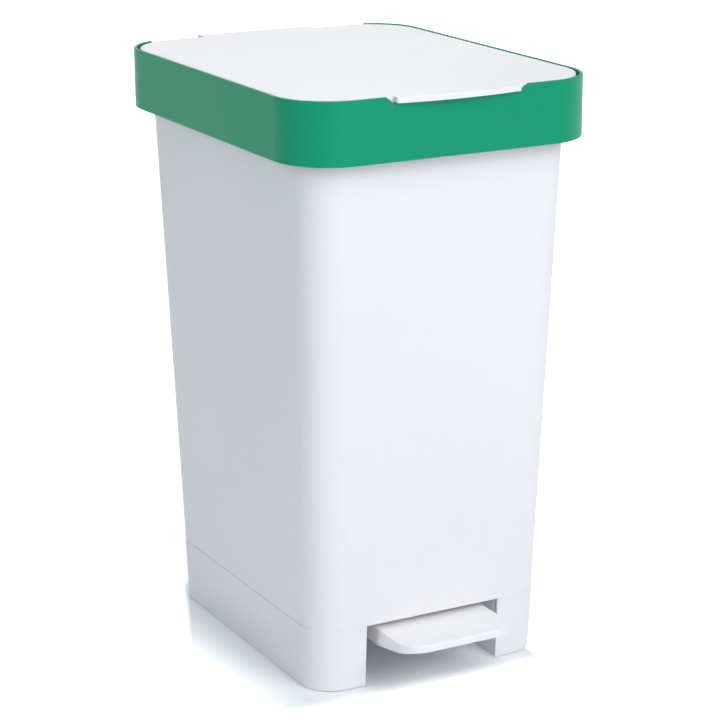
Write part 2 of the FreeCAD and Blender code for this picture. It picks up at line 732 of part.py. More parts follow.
def build_lid():
    body = new_body("lid")
    gap = S["collar_wall"] + S["lid_gap"]
    back_edge = BACK - S["collar_wall"] - S["lid_back_gap"]
    front_edge = FRONT + gap
    middle = (front_edge + back_edge) / 2
    form = (S["collar_width"] - 2 * gap, back_edge - front_edge, S["lid_corner"])
    tray = rounded(new_sketch(body, "TraySketch", "XY_Plane", LID_FOOT, middle), form)
    pad(body, tray, LID_TOP - LID_FOOT, "Tray")
    fillet(body, lambda edge: level_at(edge, LID_TOP), S["lid_edge_round"], "TopRound")
    under = new_sketch(body, "UnderSketch", "XY_Plane", LID_FOOT, middle)
    rounded(under, inside(form, S["lid_wall"]))
    pocket(body, under, SHEET_FOOT - LID_FOOT, "Under", reverse=True)

    rib_low = SHEET_FOOT - S["lid_rib_depth"]
    long_ribs = new_sketch(body, "LongRibSketch", "XY_Plane", rib_low)
    cross_ribs = new_sketch(body, "CrossRibSketch", "XY_Plane", rib_low)
    thick = S["lid_rib_wall"] / 2
    edge = S["lid_wall"] / 2
    for side in (-1, 1):
        across = side * S["lid_rib_across"] / 2
        rectangle(long_ribs, across - thick, across + thick, front_edge + edge, back_edge - edge)
        along = side * S["lid_rib_along"] / 2
        rectangle(cross_ribs, edge - form[0] / 2, form[0] / 2 - edge, along - thick, along + thick)
    pad(body, long_ribs, S["lid_rib_depth"] + edge, "LongRibs")
    pad(body, cross_ribs, S["lid_rib_depth"] + edge, "CrossRibs")

    half = S["lip_width"] / 2
    lip_low = LID_TOP - S["lip_thickness"]
    lip = new_sketch(body, "LipSketch", "XY_Plane", lip_low)
    bowed_lip(lip, half, front_edge + S["lid_wall"], FRONT - S["lip_reach"], S["lip_bow"])
    pad(body, lip, S["lip_thickness"], "Lip")

    radius = S["barrel_radius"]
    tab_half = S["tab_width"] / 2
    tab = new_sketch(body, "TabSketch", "XY_Plane", SHEET_FOOT)
    rectangle(tab, -tab_half, tab_half, back_edge - S["lid_wall"], HINGE_Y + radius)
    pad(body, tab, S["lid_sheet"], "Tab")
    fillet(body, lambda edge: level_at(edge, LID_TOP) and (
        edge.BoundBox.YMin > HINGE_Y.value or edge.BoundBox.YMax < FRONT.value),
        S["lid_edge_round"], "TabRound")
    barrel = new_sketch(body, "BarrelSketch", "YZ_Plane")
    circle(barrel, HINGE_Y, HINGE_Z, radius)
    pad(body, barrel, S["tab_width"], "Barrel", both=True)
    shoulder = new_sketch(body, "ShoulderSketch", "YZ_Plane")
    rectangle(shoulder, HINGE_Y - radius, HINGE_Y + radius, HINGE_Z, SHEET_FOOT + S["lid_sheet"] / 2)
    pad(body, shoulder, S["tab_width"], "Shoulder", both=True)
    bore = new_sketch(body, "BoreSketch", "YZ_Plane")
    circle(bore, HINGE_Y, HINGE_Z, S["pin_radius"] + S["pin_gap"])
    pocket(body, bore, S["tab_width"] + radius, "Bore", both=True)

    nose = S["horn_nose"]
    horn = new_sketch(body, "HornSketch", "YZ_Plane")
    polygon(horn, [
        (NOSE_Y - nose, NOSE_Z),
        (NOSE_Y + nose, NOSE_Z),
        (NOSE_Y + 4 * nose, SHEET_FOOT + S["lid_sheet"] / 2),
        (NOSE_Y - 2 * nose, SHEET_FOOT + S["lid_sheet"] / 2),
    ])
    pad(body, horn, S["horn_width"], "Horn", both=True)
    tip = new_sketch(body, "HornTipSketch", "YZ_Plane")
    circle(tip, NOSE_Y, NOSE_Z, nose)
    pad(body, tip, S["horn_width"], "HornTip", both=True)
    return body


def bowed_lip(sketch, half, inner, outer, bow):
    """The finger lip: straight sides and a front that bows outward."""
    radius = (half * half + bow * bow) / (2 * bow)
    points = [(half, outer), (half, inner), (-half, inner), (-half, outer)]
    for start, stop in zip(points, points[1:]):
        add_line(sketch, start, stop)
    left = VECTOR(-half.value, outer.value, 0)
    right = VECTOR(half.value, outer.value, 0)
    front = VECTOR(0, outer.value - bow.value, 0)
    sketch.addGeometry(Part.Arc(left, front, right), False)
    arc_ends = arc_order(sketch, 3, left)
    sketch.addConstraint(Sketcher.Constraint("Coincident", 0, 2, 1, 1))
    sketch.addConstraint(Sketcher.Constraint("Coincident", 1, 2, 2, 1))
    sketch.addConstraint(Sketcher.Constraint("Coincident", 2, 2, 3, arc_ends[0]))
    sketch.addConstraint(Sketcher.Constraint("Coincident", 3, arc_ends[1], 0, 1))
    for index, (x, y) in enumerate(points[:3]):
        pin_point(sketch, index, 1, x, y)
    pin_point(sketch, 2, 2, *points[3])
    bind(sketch, Sketcher.Constraint("Radius", 3, radius.value), radius)
    return sketch


def arc_order(sketch, geometry, point):
    """Which end of an arc lies on a point, then the other end."""
    if sketch.getPoint(geometry, 1).distanceToPoint(point) < 0.001:
        return 1, 2
    return 2, 1


def build_pedal():
    body = new_body("pedal")
    top = S["pedal_top"]
    front = -PEDAL_REACH
    back = PIVOT_Y + S["pedal_tail"]
    taper_start = front + S["pedal_corner"]
    skirt_start = -BASE_DEPTH / 2 - S["pedal_skirt_stand"]
    deep = top - S["pedal_skirt_depth"]
    side = new_sketch(body, "SideSketch", "YZ_Plane")
    polygon(side, [
        (front, top - S["pedal_nose_depth"]),
        (skirt_start, deep),
        (back, deep),
        (back, top),
        (front, top),
    ])
    pad(body, side, S["pedal_width"], "Block", both=True)
    corners = lambda edge: vertical(edge) and edge.CenterOfMass.y < front.value + 0.01
    fillet(body, corners, S["pedal_corner"], "Corners")
    fillet(body, lambda edge: level_at(edge, top) and edge.CenterOfMass.y < back.value - 0.01,
           S["pedal_edge_round"], "TopRound")

    wall = S["pedal_wall"]
    length = back - front - 2 * wall
    hollow_form = (S["pedal_width"] - 2 * wall, length, S["pedal_corner"] - wall)
    hollow = new_sketch(body, "HollowSketch", "XY_Plane", deep, (front + back) / 2)
    rounded(hollow, hollow_form)
    pocket(body, hollow, top - deep - S["pedal_sheet"], "Hollow", reverse=True)

    lever_half = S["lever_width"] / 2
    web_shift = lever_half - S["lever_web"]
    nose = S["lever_nose_radius"]
    deck_end = S["lever_nose_height"] + nose - S["lever_nose_stand"]
    for sign, name in ((1, "Right"), (-1, "Left")):
        start = web_shift if sign > 0 else -lever_half
        rail = new_sketch(body, f"Rail{name}Sketch", "YZ_Plane", start)
        polygon(rail, [
            (taper_start, top - S["pedal_nose_depth"]),
            (skirt_start, deep),
            (PIVOT_Y, S["pivot_height"] - S["lever_depth"] / 2),
            (LEVER_NOSE_Y, S["lever_nose_height"] - nose),
            (LEVER_NOSE_Y, deck_end),
            (back, top - S["pedal_sheet"] / 2),
            (taper_start, top - S["pedal_sheet"] / 2),
        ])
        pad(body, rail, S["lever_web"], f"Rail{name}")
    rib_place = (lever_half + PEDAL_HALF - S["tread_rib_wall"]) / 2
    for sign, name in ((1, "Right"), (-1, "Left")):
        start = rib_place if sign > 0 else -rib_place - S["tread_rib_wall"]
        rib = new_sketch(body, f"TreadRib{name}Sketch", "YZ_Plane", start)
        polygon(rib, [
            (taper_start, top - S["pedal_nose_depth"]),
            (skirt_start, deep + S["tread_rib_lift"]),
            (back - wall / 2, deep + S["tread_rib_lift"]),
            (back - wall / 2, top - S["pedal_sheet"] / 2),
            (taper_start, top - S["pedal_sheet"] / 2),
        ])
        pad(body, rib, S["tread_rib_wall"], f"TreadRib{name}")
    deck = new_sketch(body, "DeckSketch", "YZ_Plane")
    polygon(deck, [
        (back - wall, top - S["pedal_sheet"]),
        (LEVER_NOSE_Y, deck_end - S["lever_web"]),
        (LEVER_NOSE_Y, deck_end),
        (back, top),
        (back - wall, top),
    ])
    pad(body, deck, S["lever_width"], "Deck", both=True)
    tip = new_sketch(body, "TipSketch", "YZ_Plane")
    circle(tip, LEVER_NOSE_Y, S["lever_nose_height"], nose)
    pad(body, tip, S["lever_width"], "Tip", both=True)

    boss = new_sketch(body, "BossSketch", "YZ_Plane")
    circle(boss, PIVOT_Y, S["pivot_height"], S["axle_radius"] + S["boss_wall"])
    pad(body, boss, 2 * (LUG_INNER - S["lug_gap"]), "Boss", both=True)
    bore = new_sketch(body, "BoreSketch", "YZ_Plane")
    circle(bore, PIVOT_Y, S["pivot_height"], S["axle_radius"] + S["axle_gap"])
    pocket(body, bore, 2 * LUG_INNER, "Bore", both=True)
    return body


def turned(label, radius, low, high, body=None):
    """A round bar along the rod's own axis."""
    body = body or lean_body(label)
    sketch = new_sketch(body, f"Round{low.value:.0f}".replace("-", "m"), "XY_Plane", low)
    circle(sketch, 0, 0, radius)
    pad(body, sketch, high - low, f"Bar{low.value:.0f}".replace("-", "m"))
    return body


def build_rod():
    rod_foot = BUSH_FOOT + S["foot_bush_sole"]
    rod_head = CAP_TOP - S["cap_crown"]
    turned("push_rod", S["rod_radius"], rod_foot, rod_head)

    cap = turned("rod_cap", S["cap_radius"], CAP_TOP - S["cap_length"], CAP_TOP)
    socket = new_sketch(cap, "SocketSketch", "XY_Plane", CAP_TOP - S["cap_length"])
    circle(socket, 0, 0, S["rod_radius"] + S["press_gap"])
    pocket(cap, socket, S["cap_length"] - S["cap_crown"], "Socket", reverse=True)

    bush = turned("rod_foot", S["foot_bush_radius"], BUSH_FOOT, BUSH_FOOT + S["foot_bush_length"])
    socket = new_sketch(bush, "SocketSketch", "XY_Plane", rod_foot)
    circle(socket, 0, 0, S["rod_radius"] + S["press_gap"])
    pocket(bush, socket, S["foot_bush_length"] - S["foot_bush_sole"], "Socket", reverse=True)

    guide_heights = {
        "upper": RIM - S["upper_guide_drop"],
        "lower": S["seam_height"] + S["lower_guide_rise"],
    }
    for name, height in guide_heights.items():
        guide = lean_body(f"rod_guide_{name}")
        run = (height - ROD_Z) / UPRIGHT
        block = new_sketch(guide, "BlockSketch", "XY_Plane", run)
        half = CHANNEL_WIDTH / 2
        floor = -(CHANNEL_DEPTH - ROD_INSET) * UPRIGHT
        outer = ROD_INSET * UPRIGHT - S["guide_inset"]
        rectangle(block, -half, half, floor, outer)
        circle(block, 0, 0, S["rod_radius"] + S["rod_gap"])
        pad(guide, block, S["guide_height"], "Block")


def bar(name, radius, length, place, turn=None):
    """A plain cylinder standing on a place, or lying along X."""
    item = DOC.addObject("Part::Cylinder", name)
    item.setExpression("Radius", as_size(radius).text)
    item.setExpression("Height", as_size(length).text)
    if turn == "across":
        item.Placement = FreeCAD.Placement(VECTOR(0, 0, 0), FreeCAD.Rotation(VECTOR(0, 1, 0), 90))
    for letter, value in zip("xyz", place):
        item.setExpression(f"Placement.Base.{letter}", as_size(value).text)
    return item


def joined(label, pieces):
    item = DOC.addObject("Part::MultiFuse", label)
    item.Label = label
    item.Shapes = pieces
    return item


def build_pins():
    ear_outer = S["tab_width"] / 2 + S["ear_gap"] + S["ear_wall"]
    pin = bar("hinge_pin", S["pin_radius"], 2 * ear_outer, (-ear_outer, HINGE_Y + SHIFT, HINGE_Z), "across")
    pin.Label = "hinge_pin"
    axle = bar("pedal_axle", S["axle_radius"], 2 * AXLE_HALF,
               (-AXLE_HALF, PIVOT_Y + SHIFT, S["pivot_height"]), "across")
    axle.Label = "pedal_axle"

    clips = []
    for side, name in ((1, "Right"), (-1, "Left")):
        start = CLIP_START if side > 0 else -CLIP_START - S["clip_thickness"]
        place = (start, PIVOT_Y + SHIFT, S["pivot_height"])
        disc = bar(f"ClipDisc{name}", S["clip_radius"], S["clip_thickness"], place, "across")
        hole = bar(f"ClipHole{name}", S["axle_radius"] + S["press_gap"], S["clip_thickness"], place, "across")
        clip = DOC.addObject("Part::Cut", f"Clip{name}")
        clip.Base = disc
        clip.Tool = hole
        clips.append(clip)
    group("axle_clips", clips)


def group(label, pieces):
    item = DOC.addObject("Part::Compound", label)
    item.Label = label
    item.Links = pieces
    return item


def build_screws():
    screws = []
    seat = BOSS_FOOT - S["tab_thickness"]
    for index, (x, y) in enumerate(corner_places(SCREW_ACROSS, SCREW_ALONG)):
        head = bar(f"ScrewHead{index}", S["screw_head_radius"], S["screw_head_height"],
                   (x, y + SHIFT, seat - S["screw_head_height"]))
        shank = bar(f"ScrewShank{index}", S["screw_radius"], S["screw_length"], (x, y + SHIFT, seat))
        screws.append(joined(f"Screw{index}", [head, shank]))
    group("plinth_screws", screws)


def build_feet():
    names = ("foot_front_left", "foot_front_right", "foot_rear_left", "foot_rear_right")
    places = corner_places(FOOT_ACROSS, FOOT_ALONG)
    flange_top = S["foot_lift"] + S["flange_thickness"]
    for name, (x, y) in zip(names, places):
        pad_disc = bar(f"Pad_{name}", S["foot_radius"], S["foot_lift"], (x, y + SHIFT, 0))
        stem = bar(f"Stem_{name}", S["foot_stem_radius"], flange_top, (x, y + SHIFT, 0))
        barb = bar(f"Barb_{name}", S["foot_barb_radius"], S["foot_barb_height"], (x, y + SHIFT, flange_top))
        joined(name, [pad_disc, stem, barb])


NODES = (
    "body", "plinth", "collar", "lid", "hinge_pin", "pedal", "pedal_axle", "axle_clips",
    "push_rod", "rod_cap", "rod_foot", "rod_guide_upper", "rod_guide_lower", "plinth_screws",
    "foot_front_left", "foot_front_right", "foot_rear_left", "foot_rear_right",
)


def write_nodes():
    DOC.recompute()
    for item in DOC.Objects:
        if "Invalid" in item.State or "Error" in item.State:
            raise RuntimeError(f"{item.Label} is in state {item.State}")
    os.makedirs("parts", exist_ok=True)
    for label in NODES:
        item = DOC.getObjectsByLabel(label)[0]
        shape = item.Shape
        if shape.isNull() or not shape.isValid():
            raise RuntimeError(f"{label} has no valid shape")
        shape.exportStep(f"parts/{label}.step")
        print(f"{label}: {len(shape.Solids)} solids, {shape.Volume / 1000:.2f} cm3")


build_body()
build_plinth()
build_collar()
build_lid()
build_pedal()
build_rod()
build_pins()
build_screws()
build_feet()
write_nodes()
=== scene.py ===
# %% [markdown]
# # A kitchen pedal bin
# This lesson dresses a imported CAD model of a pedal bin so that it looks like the
# real thing: moulded white and green plastic, plated steel and rubber. The CAD
# model is the fixed frame. It gives every size and every moving body, so nothing
# in it is moved or reshaped here. We only add finishes, and remake the few small
# parts whose CAD solids are plainer than the real ones.

import math

import bmesh
import bpy
from mathutils import Matrix, Vector


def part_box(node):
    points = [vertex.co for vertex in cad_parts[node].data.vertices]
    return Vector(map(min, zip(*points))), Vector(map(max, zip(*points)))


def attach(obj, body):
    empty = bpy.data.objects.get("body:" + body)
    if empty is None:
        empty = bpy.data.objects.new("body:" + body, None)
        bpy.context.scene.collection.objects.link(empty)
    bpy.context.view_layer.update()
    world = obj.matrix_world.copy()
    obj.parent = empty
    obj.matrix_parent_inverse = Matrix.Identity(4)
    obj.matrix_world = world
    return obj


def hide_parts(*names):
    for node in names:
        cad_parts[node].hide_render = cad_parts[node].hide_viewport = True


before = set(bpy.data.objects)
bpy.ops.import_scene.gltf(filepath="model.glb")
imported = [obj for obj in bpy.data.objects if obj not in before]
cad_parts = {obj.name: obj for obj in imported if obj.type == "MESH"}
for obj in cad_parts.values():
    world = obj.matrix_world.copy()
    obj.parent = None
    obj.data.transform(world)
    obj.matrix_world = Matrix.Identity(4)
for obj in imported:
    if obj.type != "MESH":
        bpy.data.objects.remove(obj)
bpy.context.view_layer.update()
scene = bpy.context.scene

# %% [markdown]
# ## The camera
# A product photographer stands back and uses a long lens, so that upright edges
# stay nearly parallel. The place of the camera was solved from the outline in the
# photograph: about two metres away, a little to the left and 16 degrees up. We
# could aim it with a Track To constraint, but then the slight roll would be lost,
# so the camera's own right, up and back directions go straight into its matrix.

# %% Place the camera
AZIMUTH = math.radians(-28.228)
ELEVATION = math.radians(16.249)
ROLL = -0.005
DISTANCE = 1.958
AIM = Vector((0.0069, 0.0025, 0.2231))
SENSOR_MM = 36
LENS_MM = 120.5

back = Vector((
    math.sin(AZIMUTH) * math.cos(ELEVATION),
    -math.cos(AZIMUTH) * math.cos(ELEVATION),
    math.sin(ELEVATION),
))
level = Vector((math.cos(AZIMUTH), math.sin(AZIMUTH), 0))
upward = back.cross(level)
right = level * math.cos(ROLL) + upward * math.sin(ROLL)
up = upward * math.cos(ROLL) - level * math.sin(ROLL)

camera = bpy.data.objects.new("camera", bpy.data.cameras.new("camera"))
scene.collection.objects.link(camera)
camera.data.sensor_width = SENSOR_MM
camera.data.lens = LENS_MM
turn = Matrix((right, up, back)).transposed().to_4x4()
camera.matrix_world = Matrix.Translation(AIM + back * DISTANCE) @ turn
scene.camera = camera
print("camera stands at", [round(x, 3) for x in camera.matrix_world.translation])

# %% [markdown]
# ## Writing shader maths as sums
# A material is a net of nodes. Placing and wiring each Math node by hand hides
# what the sum says, so one small class wraps a socket and lets Python's own signs
# add the Math nodes. Every other node comes from its one method, which takes the
# kind of node, then its settings, then the values or wires of its inputs.

# %% A wire that can be added and multiplied
class Wire:
    """A node's output, with arithmetic."""

    def __init__(self, tree, socket=None):
        self.tree = tree
        self.socket = socket

    def node(self, kind, settings=None, inputs=None, out=0):
        made = self.tree.nodes.new(kind)
        for name, value in (settings or {}).items():
            setattr(made, name, value)
        for key, value in (inputs or {}).items():
            for one in value if isinstance(value, list) else [value]:
                if isinstance(one, Wire):
                    self.tree.links.new(one.socket, made.inputs[key])
                else:
                    made.inputs[key].default_value = one
        return Wire(self.tree, made.outputs[out] if made.outputs else None)

    def math(self, operation, first, second=0.0):
        return self.node("ShaderNodeMath", {"operation": operation}, {0: first, 1: second})

    def __add__(self, other):
        return self.math("ADD", self, other)

    def __sub__(self, other):
        return self.math("SUBTRACT", self, other)

    def __rsub__(self, other):
        return self.math("SUBTRACT", other, self)

    def __mul__(self, other):
        return self.math("MULTIPLY", self, other)

    __radd__ = __add__
    __rmul__ = __mul__


print("a wire can be added, subtracted and multiplied; Wire.node makes every other node")

# %% [markdown]
# A few short words on top of it keep the recipes below readable: noise of a given
# grain, a smooth step from 0 to 1, a mix of two colours, and the last wire into
# the material's output.

# %% Words for the recipes
def blank_material(name):
    """A material with an empty tree, and a wire to start its nodes from."""
    material = bpy.data.materials.new(name)
    material.use_nodes = True
    material.node_tree.nodes.clear()
    return material, Wire(material.node_tree)


def noise(place, scale, detail=2.0):
    inputs = {"Vector": place, "Scale": scale, "Detail": detail}
    return place.node("ShaderNodeTexNoise", None, inputs)


def stretched(place, scale):
    return place.node("ShaderNodeMapping", None, {"Vector": place, "Scale": scale})


def step(value, low, high):
    """0 below low, 1 above high, smooth between."""
    settings = {"interpolation_type": "SMOOTHSTEP"}
    inputs = {"Value": value, "From Min": low, "From Max": high}
    return value.node("ShaderNodeMapRange", settings, inputs)


def mixed(factor, first, second):
    """One colour going over to another."""
    settings = {"data_type": "RGBA", "clamp_factor": True}
    return factor.node("ShaderNodeMix", settings, {0: factor, 6: first, 7: second}, 2)


def along(place, axis):
    return place.node("ShaderNodeSeparateXYZ", None, {0: place}, axis)


def to_output(surface):
    surface.node("ShaderNodeOutputMaterial", None, {"Surface": surface})


WORDS = (blank_material, noise, stretched, step, mixed, along, to_output)
print("words for the recipes:", ", ".join(word.__name__ for word in WORDS))

# %% [markdown]
# ## The studio
# The bin was photographed on a white sweep: floor and background run together
# into one white, and only the soft shadow by the bin shows where the floor is.
# Turning the lamps up until the floor burns out would burn out the bin as well.
# So the floor is ordinary pale paper for the light, and only rays that come from
# the camera or from a shiny surface see extra white on it.

# %% Rays that look at the background
def looking(wire):
    """1 for rays from the camera, a shiny surface or glass."""
    seen = wire.node("ShaderNodeLightPath", None, None, "Is Camera Ray")
    for name in ("Is Glossy Ray", "Is Transmission Ray"):
        seen = wire.math("MAXIMUM", seen, wire.node("ShaderNodeLightPath", None, None, name))
    return seen


print("camera, glossy and transmission rays see the white background")

# %% [markdown]
# That extra white grows with the distance from the bin's foot, so the shadow round
# the foot stays. A light from the right throws the shadow to the left, so the
# distance counts as it is on that side and is drawn out on the others, where the
# white then comes sooner. It also comes sooner past a slanted line at the rear left
# corner. Where the pedal shades the left half of its slot there is none at all.

# %% How far a place on the floor lies from the bin's foot
FOOT_LOW, FOOT_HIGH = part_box("plinth")
LEFT_PULL = 1.0
RIGHT_PULL = 10.0
RIGHT_INSET = 0.015
FRONT_PULL = 2.8
BACK_PULL = 2.0
CORNER_PULL = 9.0
CORNER_SLANT = 0.446
CORNER_REACH = 0.150


def past(wire, distance, pull):
    """A distance once it is past an edge, drawn out by a pull."""
    return pull * wire.math("MAXIMUM", distance, 0.0)


def from_foot(wire, place):
    """True to the left, where the shadow lies, and drawn out on the lit sides."""
    x = along(place, "X")
    y = along(place, "Y")
    side = past(wire, FOOT_LOW.x - x, LEFT_PULL)
    side = side + past(wire, x - (FOOT_HIGH.x - RIGHT_INSET), RIGHT_PULL)
    end = past(wire, FOOT_LOW.y - y, FRONT_PULL) + past(wire, y - FOOT_HIGH.y, BACK_PULL)
    corner = past(wire, CORNER_SLANT * y - x - CORNER_REACH, CORNER_PULL)
    return wire.math("SQRT", side * side + end * end) + corner


print("the foot covers", [round(1000 * x) for x in (FOOT_HIGH - FOOT_LOW)[:2]], "mm of floor")

# %% How far a place lies from the shaded half of the slot
TREAD_LOW, TREAD_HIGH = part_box("pedal")
SLOT_DEPTH = 0.04


def from_slot(wire, place):
    """Nothing in the left half of the pedal's slot, growing away from it."""
    x = along(place, "X")
    y = along(place, "Y")
    side = past(wire, TREAD_LOW.x - x, 1.0) + past(wire, x, 1.0)
    end = past(wire, FOOT_LOW.y + SLOT_DEPTH - y, 1.0)
    return wire.math("SQRT", side * side + end * end)


print("the tread is", round(1000 * (TREAD_HIGH.x - TREAD_LOW.x)), "mm wide")

# %% [markdown]
# The paper is plain and pale. From below it is clear, and it is clear for rays that
# look for a lamp, so that a weak lamp under it can show the underside of the bin.

# %% Floor paper
PAPER = (0.785, 0.81, 0.845, 1)
NO_WHITE = (0, 0, 0, 1)
FULL_WHITE = (1, 1, 1, 1)
WHITE_AT_FOOT = 0.11
SHADOW_REACH = 0.10
SLOT_REACH = 0.05


def floor_paper():
    material, wire = blank_material("floor_paper")
    place = wire.node("ShaderNodeTexCoord", None, None, "Object")
    far = step(from_foot(wire, place), 0.0, SHADOW_REACH)
    open_floor = step(from_slot(wire, place), 0.0, SLOT_REACH)
    glow = WHITE_AT_FOOT * open_floor + (1 - WHITE_AT_FOOT) * far
    extra = mixed(looking(wire) * glow, NO_WHITE, FULL_WHITE)
    paper = wire.node("ShaderNodeBsdfDiffuse", None, {"Color": PAPER})
    white = wire.node("ShaderNodeEmission", None, {"Color": extra, "Strength": 1.0})
    lit = wire.node("ShaderNodeAddShader", None, {0: paper, 1: white})
    below = wire.node("ShaderNodeNewGeometry", None, None, "Backfacing")
    to_lamp = wire.node("ShaderNodeLightPath", None, None, "Is Shadow Ray")
    see_through = wire.math("MAXIMUM", below, to_lamp)
    clear = wire.node("ShaderNodeBsdfTransparent")
    to_output(wire.node("ShaderNodeMixShader", None, {0: see_through, 1: lit, 2: clear}))
    return material


FLOOR_HALF = 9.0
corners = [(x * FLOOR_HALF, y * FLOOR_HALF, 0) for x, y in ((-1, -1), (1, -1), (1, 1), (-1, 1))]
floor_mesh = bpy.data.meshes.new("floor")
floor_mesh.from_pydata(corners, [], [(0, 1, 2, 3)])
floor_mesh.materials.append(floor_paper())
floor = bpy.data.objects.new("floor", floor_mesh)
scene.collection.objects.link(floor)
print("floor is", 2 * FLOOR_HALF, "m wide")

# %% [markdown]
# The world gives the weak, cool light that fills every shadow. Where the camera
# or a shiny surface looks past the floor, it sees plain white instead.

# %% World light
FILL = 0.235
FILL_TINT = (0.80, 0.90, 1.0, 1)


def studio_world():
    world = bpy.data.worlds.new("studio")
    world.use_nodes = True
    world.node_tree.nodes.clear()
    wire = Wire(world.node_tree)
    soft = wire.node("ShaderNodeBackground", None, {"Color": FILL_TINT, "Strength": FILL})
    white = wire.node("ShaderNodeBackground", None, {"Color": FULL_WHITE, "Strength": 1.0})
    both = wire.node("ShaderNodeMixShader", None, {0: looking(wire), 1: soft, 2: white})
    wire.node("ShaderNodeOutputWorld", None, {"Surface": both})
    return world


scene.world = studio_world()
scene.view_settings.view_transform = "Standard"
print("the world fills in at", FILL, "of white")

# %% [markdown]
# Soft boxes do the rest. In the photograph the front of the bin and its lid are
# bright, its left side is a cool grey, and the collar throws hardly any shadow on
# the front. So one strong box hangs high to the right of the camera and another
# stands low beside it, to light the front under the collar. Weaker ones hang over
# the lid and stand to the left. Two more are for other views: one behind the bin,
# and a very weak one under the floor. Their powers were set by trial, comparing the
# brightness of a render with the photograph's at the same points. A lamp's size
# sets how soft its shadows are, so all of them are large.

# %% Lamps
def soft_box(name, place, size, power, colour=(1, 1, 1)):
    lamp = bpy.data.lights.new(name, "AREA")
    lamp.shape = "SQUARE"
    lamp.size = size
    lamp.energy = power
    lamp.color = colour
    box = bpy.data.objects.new(name, lamp)
    box.location = place
    box.rotation_euler = (AIM - Vector(place)).to_track_quat("-Z", "Y").to_euler()
    scene.collection.objects.link(box)
    print(name, "is", round((AIM - Vector(place)).length, 2), "m away")


soft_box("front_box", (0.75, -2.3, 2.8), 2.2, 38)
soft_box("low_box", (0.25, -2.7, 1.5), 2.2, 39.5)
soft_box("top_box", (0.0, 0.3, 2.8), 1.6, 11)
soft_box("side_box", (-3.0, -0.5, 1.5), 1.6, 21.5, (0.95, 1.0, 1.0))
soft_box("back_box", (0.9, 3.0, 1.7), 2.2, 18)
soft_box("under_box", (0.0, 0.0, -1.6), 1.2, 3.5)

# %% [markdown]
# ## Moulded plastic
# Body, plinth, lid and pedal are white polypropylene and the collar is the same
# plastic in green. Close up, such a moulding isn't even: the sparked steel of the
# mould leaves a fine grain, the flowing melt leaves slow cloudy changes of tone
# and gloss, and sliding out of the mould leaves faint upright lines. Its edges are
# never sharp, and they catch the light. Sharp CAD edges could be bevelled in the
# mesh, but a Bevel node rounds the normals just as well and keeps the frame as it
# is. The angle between the rounded and the true normal also shows where the edges
# are, and there the colour is mixed towards a third one. On the white and the green
# that is a paler colour: a painted highlight along the edges, which also stands for
# the rubbing of handling. On the pedal it is the grey of scuffs.
#
# The heights are in metres: four thousandths of a millimetre of grain.

# %% A recipe for moulded plastic
EDGE_RADIUS = 0.0004
GRAIN_HEIGHT = 0.000004
DRAW_HEIGHT = 0.000002
SINK_HALF = 0.0009
SINK_DEPTH = 0.00006


def plastic(name, colour, cloud, edge_highlight_and_wear, roughness, shine, scuffs=0.0, sink_line=None):
    material, wire = blank_material(name)
    place = wire.node("ShaderNodeTexCoord", None, None, "Object")
    grain = noise(place, 2200.0)
    flow = noise(place, 7.0, 3.0)
    draw = noise(stretched(place, (420.0, 420.0, 5.0)), 1.0)
    scratch = noise(stretched(place, (900.0, 45.0, 900.0)), 1.0, 4.0)

    soft = wire.node("ShaderNodeBevel", {"samples": 6}, {"Radius": EDGE_RADIUS})
    true = wire.node("ShaderNodeNewGeometry", None, None, "Normal")
    dot = {"operation": "DOT_PRODUCT"}
    turn = wire.node("ShaderNodeVectorMath", dot, {0: soft, 1: true}, "Value")
    edge = step(1 - turn, 0.01, 0.25)
    scuff = scuffs * step(scratch, 0.56, 0.74)

    tone = mixed(step(flow, 0.35, 0.65), colour, cloud)
    # Painted highlight: edges go halfway towards a paler colour on the white and green, with some
    # handling wear; on the pedal, edges and scuffs go towards scuff grey.
    tone = mixed(0.5 * edge + scuff, tone, edge_highlight_and_wear)
    rough = roughness + 0.08 * (flow - 0.5) + 0.06 * (grain - 0.5) + 0.06 * (draw - 0.5)
    rough = rough + 0.2 * scuff
    height = GRAIN_HEIGHT * grain + DRAW_HEIGHT * draw
    if sink_line:
        level = along(place, "Z")
        rise = step(level, sink_line - SINK_HALF, sink_line)
        fall = step(level, sink_line, sink_line + SINK_HALF)
        height = height - SINK_DEPTH * (rise - fall)
    relief = wire.node("ShaderNodeBump", None, {
        "Strength": 1.0, "Distance": 1.0, "Height": height, "Normal": soft})
    to_output(wire.node("ShaderNodeBsdfPrincipled", None, {
        "Base Color": tone, "Roughness": rough, "Specular IOR Level": shine, "Normal": relief}))
    print("made", name, "with", len(material.node_tree.nodes), "nodes")
    return material


def dress(material, *names):
    for name in names:
        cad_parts[name].material_slots[0].material = material


print("edges look rounded by", 1000 * EDGE_RADIUS, "mm")

# %% [markdown]
# The white is nearly neutral. The pedal's is a shade lighter, which is painted
# light: it makes up for the light that the bin above keeps off the tread. The pedal
# has a finish of its own, because the soles of shoes leave fine scuffs across a tread.
# On the collar a shallow line runs round the outside where the ledge inside it
# meets the wall: the thick spot shrank as it cooled. The shine is set to less than
# half of Blender's usual value, so that pale surfaces keep their tone where they
# mirror a lamp at a low angle.

# %% White and green
WHITE = (0.862, 0.848, 0.860, 1)
CLOUD_WHITE = (0.850, 0.840, 0.854, 1)
# EDGE_WHITE is paler than WHITE: painted highlight along the edges, with some handling wear. The
# pedal uses it as its cloud colour.
EDGE_WHITE = (0.885, 0.880, 0.890, 1)
